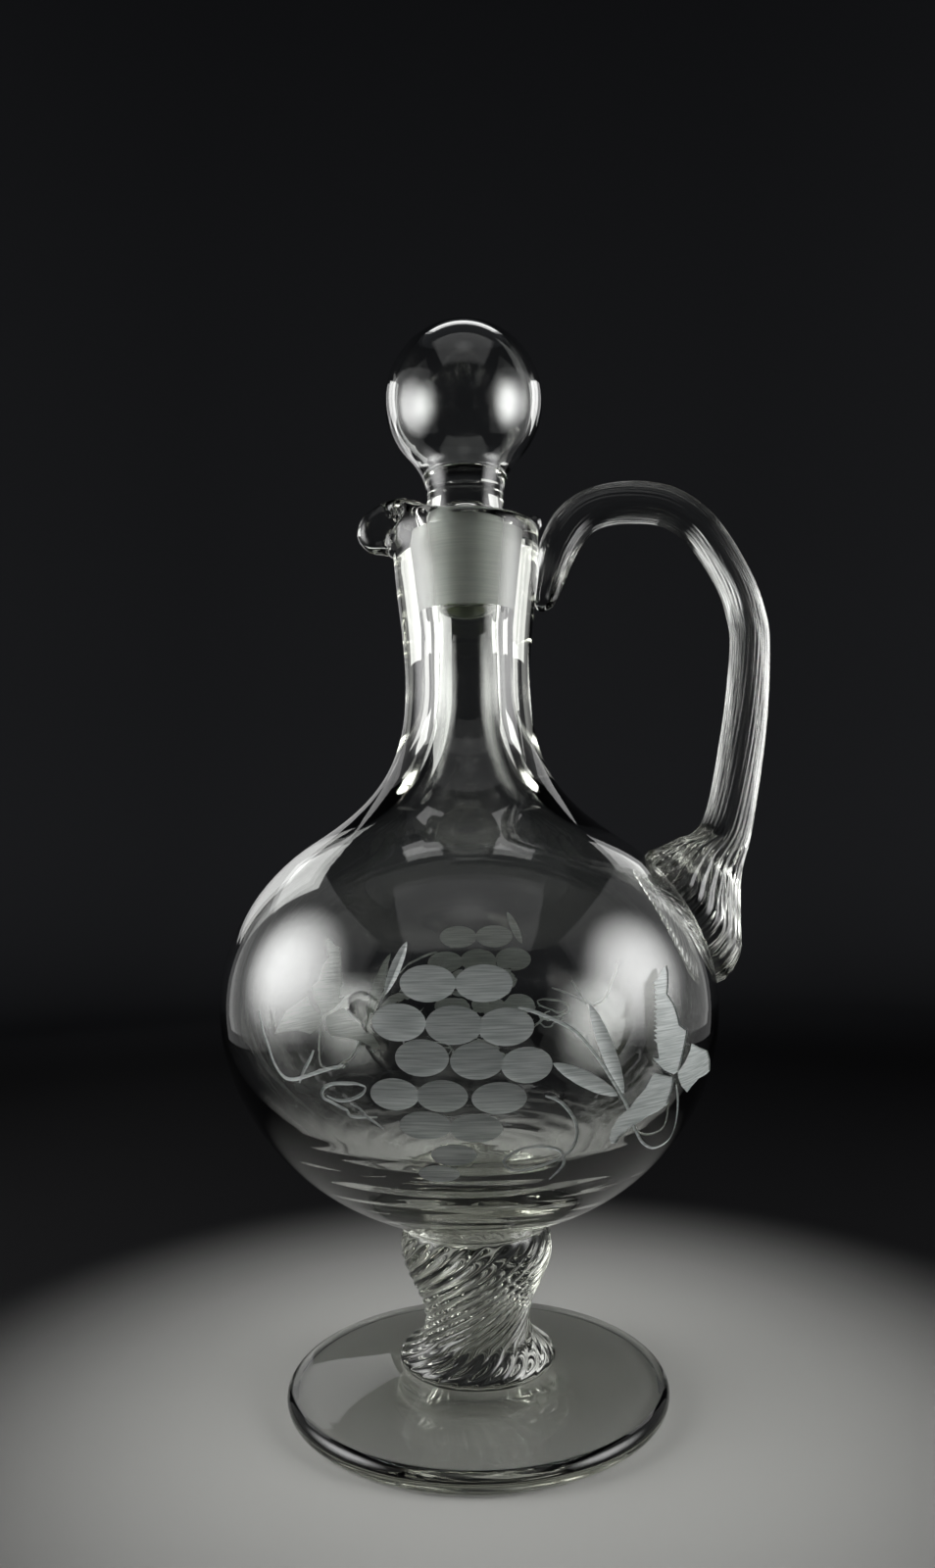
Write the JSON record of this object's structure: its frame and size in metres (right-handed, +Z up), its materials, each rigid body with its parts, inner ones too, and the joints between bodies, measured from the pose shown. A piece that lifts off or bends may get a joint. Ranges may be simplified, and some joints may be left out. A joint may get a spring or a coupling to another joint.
{
  "type": "stoppered wine carafe",
  "caption": "Footed blown-glass wine carafe with round bulb, twisted ribbed stem, pulled pouring lip, reeded loop handle and hollow ball stopper.",
  "frame": {"origin": "on the surface that the carafe stands on, under the middle of its overall box", "axes": "+Z up along the stopper, -X towards the pouring lip, +X towards the handle"},
  "size_m": [0.149, 0.1308, 0.288],
  "materials": {
    "clear_glass": "fire-polished clear glass with a faint grey-green tint in the thick parts",
    "ground_glass": "matt ground glass, as on the stopper's plug and the wheel-cut pattern"
  },
  "bodies": {
    "vessel": {"foot": "clear_glass", "foot_collar": "clear_glass", "stem": "clear_glass", "bulb": "clear_glass", "handle": "clear_glass"},
    "stopper": {"stopper_plug": "ground_glass", "stopper_ball": "clear_glass"}
  },
  "joints": [
    {"name": "stopper_lift", "type": "slide", "parent": "vessel", "child": "stopper", "axis": [0, 0, 1], "range_m": [0, 0.045]}
  ]
}
